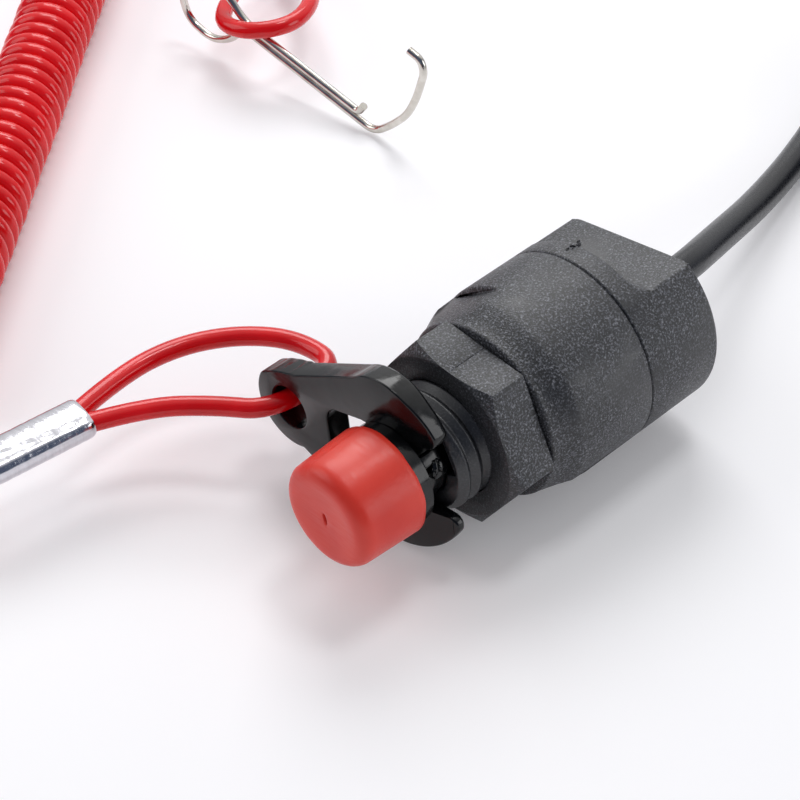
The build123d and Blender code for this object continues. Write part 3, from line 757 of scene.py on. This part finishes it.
for index, (x, turn, radius, seed) in enumerate(neck["flash"]):
    flash = roughLump(radius * mm, neck["flashRoughness"], seed)
    flash.scale = neck["flashStretch"]
    flash.rotation_euler = (math.radians(turn), 0.5, 0.3)
    reach = (neck["neckRadius"] + neck["flashHeight"]) * mm
    flash.location = (x * mm, reach * math.cos(math.radians(turn)), reach * math.sin(math.radians(turn)))
    applyPlace(flash)
    finishPiece(flash, f"neckFlash{index + 1}", acetal, "plunger", "black_acetal", angle=60)
print("plunger's neck shaped")

# Springs: steel copies of the construction coils, left where they are and seated on no body
springs = {
    # by node: name, body and x of the seated end, body of the moved end, and its corner of the node's box
    "plunger_spring": ("plungerSpringCoil", "switch", 2.05, "plunger", 1),
    "button_spring": ("buttonSpringCoil", "plunger", -18.65, "button", 0),
}
for node, (name, seat, seatX, moved, corner) in springs.items():
    coil = finishPiece(copyOfNode(node), name, steel, None, "spring_steel", node)
    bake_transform(coil)

# Ferrules: flattened aluminium sleeves, dented and creased by the crimping tool
ferrule = {
    "halfWidth": 3.1,
    "halfHeight": 1.9,
    "flatness": 1.6,            # how soon the flat top gives way to the round sides
    "ringStep": 0.35,           # between the rings of points along the sleeve
    "pointsRound": 72,
    "dent": 0.035,
    "dentWaves": 8,
    "crease": 0.16,
    # each crease's place round the sleeve, drift along it and width, in radians, and share of the depth
    "creases": [(0.9, 0.5, 0.09, 1.0), (2.5, 0.0, 0.08, 0.7)],
    "lip": 0.25,                # how far the ends are drawn in
    "lipRun": 60,
    "ends": {
        "front_ferrule": [(-33.4, 36.3, -3.0), (-47.4, 38.2, -3.3)],
        "rear_ferrule": [(69.4, 109.0, -11.4), (58.6, 100.0, -7.6)],
    },
}


def crimpedSleeve(name, ends):
    # a closed unit tube whose points are then set on the dented oval sleeve between the two ends
    v = ferrule
    start, stop = Vector(ends[0]) * mm, Vector(ends[1]) * mm
    forward = (stop - start).normalized()
    across = Vector((0, 0, 1)).cross(forward).normalized()
    up = forward.cross(across)
    length = (stop - start).length
    rings = round(length / (v["ringStep"] * mm))
    deselectAll()
    bpy.ops.mesh.primitive_circle_add(vertices=v["pointsRound"], radius=1.0, fill_type="NGON")
    sleeve = bpy.context.object
    sleeve.name = name
    bpy.ops.object.mode_set(mode="EDIT")
    bpy.ops.mesh.select_all(action="SELECT")
    for ring in range(rings):
        bpy.ops.mesh.extrude_region_move(TRANSFORM_OT_translate={"value": (0, 0, 1.0 / rings)})
    bpy.ops.mesh.select_all(action="SELECT")
    bpy.ops.mesh.normals_make_consistent(inside=False)
    bpy.ops.object.mode_set(mode="OBJECT")
    chance = random.Random(len(name))
    phases = [chance.random() * 6.28 for wave in range(v["dentWaves"])]
    for vertex in sleeve.data.vertices:
        turn, share = math.atan2(vertex.co.y, vertex.co.x), vertex.co.z
        flat = math.copysign(min(1.0, abs(math.cos(turn)) * v["flatness"]), math.cos(turn))
        x = (v["halfWidth"] - v["halfHeight"]) * flat + v["halfHeight"] * math.cos(turn)
        y = v["halfHeight"] * math.sin(turn)
        dents = sum(math.sin(share * (17 + 9 * wave) + turn * (wave % 4) + phase)
                    for wave, phase in enumerate(phases)) / v["dentWaves"]
        crease = sum(depth * math.exp(-((turn - place - drift * share) / wide) ** 2)
                     for place, drift, wide, depth in v["creases"])
        crease *= 0.6 + 0.4 * math.sin(share * 31 + phases[0])
        lip = v["lip"] * math.exp(-min(share, 1 - share) * v["lipRun"])
        inward = v["crease"] * crease - v["dent"] * dents + lip
        size = math.hypot(x, y)
        if size > 1e-6:
            x, y = x * (1 - inward / size), y * (1 - inward / size)
        vertex.co = start + forward * (share * length) + across * (x * mm) + up * (y * mm)
    return sleeve


sleeves = {}
for node, ends in ferrule["ends"].items():
    name = node.split("_")[0] + "FerruleSleeve"
    sleeve = crimpedSleeve(name, ends)
    sleeves[node] = finishPiece(sleeve, name, aluminium, "clip", "aluminium", node, angle=50)
print("ferrules shaped")


cordMesh = {
    "longRoute": 60,            # a route with more points than this is a coil, whose points lie close
    "coilSteps": 4,
    "looseSteps": 12,
    "roundness": 5,
}


def cordCurve(name, points, diameter, material):
    # one open smooth spline with these control points, in millimetres, as round as the cord
    curve = bpy.data.curves.new(name, "CURVE")
    curve.dimensions = "3D"
    spline = curve.splines.new("NURBS")
    spline.points.add(len(points) - 1)
    for knot, point in zip(spline.points, points):
        knot.co = (point[0] * mm, point[1] * mm, point[2] * mm, 1)
    spline.order_u = 3
    spline.use_endpoint_u = True
    coiled = len(points) > cordMesh["longRoute"]
    spline.resolution_u = cordMesh["coilSteps"] if coiled else cordMesh["looseSteps"]
    curve.bevel_depth = diameter * mm / 2
    curve.bevel_resolution = cordMesh["roundness"]
    curve.use_fill_caps = True
    piece = bpy.data.objects.new(name, curve)
    bpy.context.scene.collection.objects.link(piece)
    curve.materials.append(material)
    return piece


def curveLength(piece):
    # real length of a cord's own line
    bare = piece.copy()
    bare.data = piece.data.copy()
    bare.data.bevel_depth = 0
    bpy.context.scene.collection.objects.link(bare)
    bpy.context.view_layer.update()
    mesh = bpy.data.meshes.new_from_object(bare.evaluated_get(bpy.context.evaluated_depsgraph_get()))
    spots = mesh.vertices
    length = sum((spots[a].co - spots[b].co).length for a, b in (edge.vertices for edge in mesh.edges))
    bpy.data.objects.remove(bare, do_unlink=True)
    return length


# Lanyard: a soft PVC cord, 2.6 mm thick. Routes in millimetres.
lanyard = {
    "diameter": 2.6,
    "frontLoop": [(-33.57, 35.01, -3.0), (-26.5, 32.2, -3.1), (-20.6, 26.4, -2.9), (-16.6, 19.9, -2.2),
                  (-5.0, 19.9, -2.2), (-5.0, 28.0, -2.7), (-9.5, 34.3, -3.0), (-16.5, 38.2, -3.0),
                  (-25.0, 39.2, -3.1), (-33.23, 37.59, -3.0)],
    "frontTail": [(-47.4, 38.2, -3.3), (-55.5, 39.4, -5.4), (-61.2, 44.8, -8.4), (-62.0, 52.4, -10.8),
                  (-57.4, 58.6, -12.1), (-50.3, 60.6, -12.25)],
    "coilAxis": [(-42.8, 60.0, -7.55), (51.6, 135.7, -7.55)],
    "coilRadius": 4.85,         # of the control points, which the smooth line cuts inside by 3%
    "coilPitch": 2.66,
    "pointsPerTurn": 12,
    "wobble": ((0.012, 2.3), (0.01, 0.61)),     # share of the radius and rate of each slow change, from use
    "rearTail": [(60.5, 133.8, -12.2), (70.0, 131.6, -12.1), (78.2, 126.4, -12.0), (80.4, 118.6, -11.9),
                 (76.2, 113.4, -11.7), (69.4, 109.0, -11.4)],
    "rearLoop": [(59.43, 99.0, -7.6), (55.2, 90.6, -5.6), (50.4, 84.4, -4.1), (44.5, 81.3, -3.4),
                 (40.0, 82.4, -3.4), (37.4, 86.0, -4.1), (37.2, 90.4, -4.7), (41.0, 94.0, -5.1),
                 (48.4, 98.4, -6.0), (57.77, 101.0, -7.6)],
}


def lanyardCoil():
    # control points of the coil, wound from its lowest point at the near end to its lowest at the far end
    v = lanyard
    start, stop = Vector(v["coilAxis"][0]), Vector(v["coilAxis"][1])
    forward = (stop - start).normalized()
    side = forward.cross(Vector((0, 0, 1)))
    turns = round((stop - start).length / v["coilPitch"])
    pitch = (stop - start).length / turns
    points = []
    for step in range(turns * v["pointsPerTurn"] + 1):
        turn = step / v["pointsPerTurn"]
        angle = math.radians(-90) + 2 * math.pi * turn
        radius = v["coilRadius"] * (1 + sum(share * math.sin(turn * rate) for share, rate in v["wobble"]))
        spot = start + forward * (pitch * turn) + side * (radius * math.cos(angle))
        points.append((spot.x, spot.y, spot.z + radius * math.sin(angle)))
    return points


frontLoop = cordCurve("lanyardFrontLoop", lanyard["frontLoop"], lanyard["diameter"], redCord)
longCord = cordCurve("lanyardCoiledCord", lanyard["frontTail"] + lanyardCoil() + lanyard["rearTail"],
                     lanyard["diameter"], redCord)
rearLoop = cordCurve("lanyardRearLoop", lanyard["rearLoop"], lanyard["diameter"], redCord)
for cord, nodes, farEnd, lay, carried in (
        (frontLoop, ["lanyard_front_loop"], "object", "hanging", sleeves["front_ferrule"]),
        (longCord, ["lanyard_front_tail", "lanyard_coil", "lanyard_rear_tail"], "fitting", "coiled",
         sleeves["rear_ferrule"]),
        (rearLoop, ["lanyard_rear_loop"], "object", "loose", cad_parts["wire_hook"])):
    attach(cord, "clip")
    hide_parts(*nodes)
    curveLength(cord)
    print("cord laid:", cord.name, round(curveLength(cord) * 1000), "mm")

# Cable: black PVC, 4.4 mm thick, its spare length in a two-layer ring, then two cores with ring terminals
cable = {
    "diameter": 4.4,
    "run": [(25.2, 0, 0), (36.5, 0, 0), (50, 4.0, -4.0), (65, 8.6, -8.8), (82, 13.8, -11.35)],
    "ringCentre": (111.4, -1.8),
    "ringRadius": 24.0,
    "ringStart": 108.0,         # degrees, where the run meets the ring
    "ringTurns": 2.25,
    "ringLayer": 4.45,          # height of the upper layer over the lower one
    "ringClimb": (0.8, 0.2),    # turns before the climb, and its run
    "ringLow": -11.35,
    "pointsPerTurn": 16,
    "coreDiameter": 1.5,
    "coreA": [(134.35, 5.2, -6.0), (134.2, -4.6, -6.8), (127.4, -14.6, -9.8), (117.2, -18.4, -12.1),
              (107.6, -16.2, -12.1)],
    "coreB": [(134.35, 5.2, -7.9), (133.6, -2.6, -8.3), (128.0, -9.4, -10.8), (119.8, -11.6, -12.1),
              (111.8, -8.6, -12.1)],
}


def cableRing():
    # the ring runs clockwise; it climbs from the lower to the upper layer as it comes past its start
    v = cable
    points = []
    radius = v["ringRadius"] / math.cos(math.pi / v["pointsPerTurn"])
    for step in range(int(v["ringTurns"] * v["pointsPerTurn"]) + 1):
        turn = step / v["pointsPerTurn"]
        angle = math.radians(v["ringStart"]) - 2 * math.pi * turn
        climb = rise(turn, *v["ringClimb"])
        height = v["ringLow"] + v["ringLayer"] * climb * climb * (3 - 2 * climb)
        points.append((v["ringCentre"][0] + radius * math.cos(angle),
                       v["ringCentre"][1] + radius * math.sin(angle), height))
    return points


cableCord = cordCurve("cableJacket", cable["run"] + cableRing(), cable["diameter"], blackCable)
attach(cableCord, "switch")
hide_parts("cable", "cable_coil")
curveLength(cableCord)
for mark, route, finish, slotName in (("a", cable["coreA"], blackCable, "black_pvc"),
                                      ("b", cable["coreB"], redCore, "red_pvc")):
    core = cordCurve("coreWire" + mark.upper(), route, cable["coreDiameter"], finish)
    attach(core, "switch")
    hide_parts("core_wire_" + mark)
    curveLength(core)
print("cable laid")

# Floor: a white table top that keeps soft shadows
studio = {
    "floorSize": 1.6,
    "floorPlace": (0.03, 0.04),
    "floorCloud": 30 * mm,
    "floorColours": [(0.3, "#f4f4f8"), (0.7, "#f7f7fa")],
    "floorGlowColour": "#fbfaff",
    "floorGlow": 0.10,          # lifts the white table for the camera and in reflections only
    "worldLight": 0.40,
    "worldSeen": 1.0,           # the world's own white behind the table
    "brightSide": (0.53, 0.35, 0.77),   # towards the studio's white wall and window
    "brightEdge": (0.2, 0.95),          # from the darker side to the white one, as a cosine
    "darkSide": "#525c70",              # the room's far side, as reflections show it
    "lampDistance": 0.62,
    # direction towards each lamp, its size, and its share of a plain light level
    "lamps": [("backPanel", (0.5, 0.55, 0.72), 0.34, 0.44), ("rightPanel", (0.55, -0.85, 0.30), 0.32, 0.24),
              ("topPanel", (0.3, 0.0, 0.95), 0.14, 0.16), ("leftPanel", (-0.6, 0.75, 0.55), 0.40, 0.24)],
}


def seenShare(owner):
    # one where the camera, a reflection or a look through glass meets the surface, and nought for plain light
    path = addNode(owner, "ShaderNodeLightPath")
    share = path.outputs["Is Camera Ray"]
    for ray in ("Is Glossy Ray", "Is Transmission Ray"):
        either = addNode(owner, "ShaderNodeMath", [(share, 0), (path.outputs[ray], 1)], operation="MAXIMUM")
        share = either.outputs["Value"]
    return share


deselectAll()
bpy.ops.mesh.primitive_plane_add(size=studio["floorSize"], location=(*studio["floorPlace"], floorHeight))
floor = bpy.context.object
applyPlace(floor)
floor.name = "floor"
# matt white paper, whose pulp clouds its white a little
paper, paperShader = newMaterial("whitePaper", Roughness=0.85, Specular_IOR_Level=0.2,
                                 Emission_Color=linear(studio["floorGlowColour"]))
paperPlace = addNode(paper, "ShaderNodeTexCoord").outputs["Object"]
pulp = addNode(paper, "ShaderNodeTexNoise", [(paperPlace, "Vector")],
               Scale=blobScale(studio["floorCloud"]), Detail=1.0)
whites = addNode(paper, "ShaderNodeValToRGB", [(pulp.outputs["Fac"], "Fac")], studio["floorColours"])
link(paper, whites.outputs["Color"], paperShader.inputs["Base Color"])
glow = addNode(paper, "ShaderNodeMapRange", [(seenShare(paper), "Value")],
               To_Min=0.0, To_Max=studio["floorGlow"])
link(paper, glow.outputs["Result"], paperShader.inputs["Emission Strength"])
floor.data.materials.append(paper)

# World: plain white, but reflections see that one side of the room is darker
world = bpy.data.worlds.new("studioWorld")
bpy.context.scene.world = world
world.use_nodes = True
background = world.node_tree.nodes["Background"]
direction = addNode(world, "ShaderNodeTexCoord").outputs["Generated"]
facing = addNode(world, "ShaderNodeVectorMath", [(direction, 0)], operation="DOT_PRODUCT")
facing.inputs[1].default_value = studio["brightSide"]
bright = addNode(world, "ShaderNodeMapRange", [(facing.outputs["Value"], "Value")],
                 interpolation_type="SMOOTHSTEP", From_Min=studio["brightEdge"][0],
                 From_Max=studio["brightEdge"][1])
path = addNode(world, "ShaderNodeLightPath")
reflected = path.outputs["Is Glossy Ray"]
plain = addNode(world, "ShaderNodeMath", [(reflected, 1)], operation="SUBTRACT")
plain.inputs[0].default_value = 1.0
white = addNode(world, "ShaderNodeMath", [(plain.outputs["Value"], 0), (bright.outputs["Result"], 1)],
                operation="MAXIMUM")
room = addNode(world, "ShaderNodeMixRGB", [(white.outputs["Value"], "Fac")],
               Color1=linear(studio["darkSide"]), Color2=linear("#ffffff"))
link(world, room.outputs["Color"], background.inputs["Color"])
strength = addNode(world, "ShaderNodeMapRange", [(seenShare(world), "Value")],
                   To_Min=studio["worldLight"], To_Max=studio["worldSeen"])
link(world, strength.outputs["Result"], background.inputs["Strength"])

for name, towards, size, share in studio["lamps"]:
    data = bpy.data.lights.new(name, "AREA")
    data.shape = "SQUARE"
    data.size = size
    data.energy = share * math.pi * math.pi * studio["lampDistance"] ** 2
    lamp = bpy.data.objects.new(name, data)
    bpy.context.scene.collection.objects.link(lamp)
    lamp.location = Vector(towards).normalized() * studio["lampDistance"]
    lamp.rotation_euler = Vector(towards).to_track_quat("Z", "Y").to_euler()
print("floor and lights set")

# Camera at the photograph's angle: 43 degrees above the table, looking 46 degrees off the switch's axis
view = {
    "place": (-161.80, -153.13, 209.64),
    "azimuth": 45.98,
    "elevation": 43.02,
    "roll": -0.68,
    "lens": 112.1,
}
cameraData = bpy.data.cameras.new("photoCamera")
cameraData.sensor_width = 36
cameraData.lens = view["lens"]
cameraData.clip_start = 0.01
camera = bpy.data.objects.new("photoCamera", cameraData)
bpy.context.scene.collection.objects.link(camera)
turn = Euler((math.radians(90 - view["elevation"]), 0, math.radians(view["azimuth"] - 90))).to_matrix()
turn = turn @ Matrix.Rotation(math.radians(view["roll"]), 3, "Z")
camera.matrix_world = Matrix.Translation(Vector(view["place"]) * mm) @ turn.to_4x4()
bpy.context.scene.camera = camera
bpy.context.scene.view_settings.view_transform = "Standard"
print("camera set")
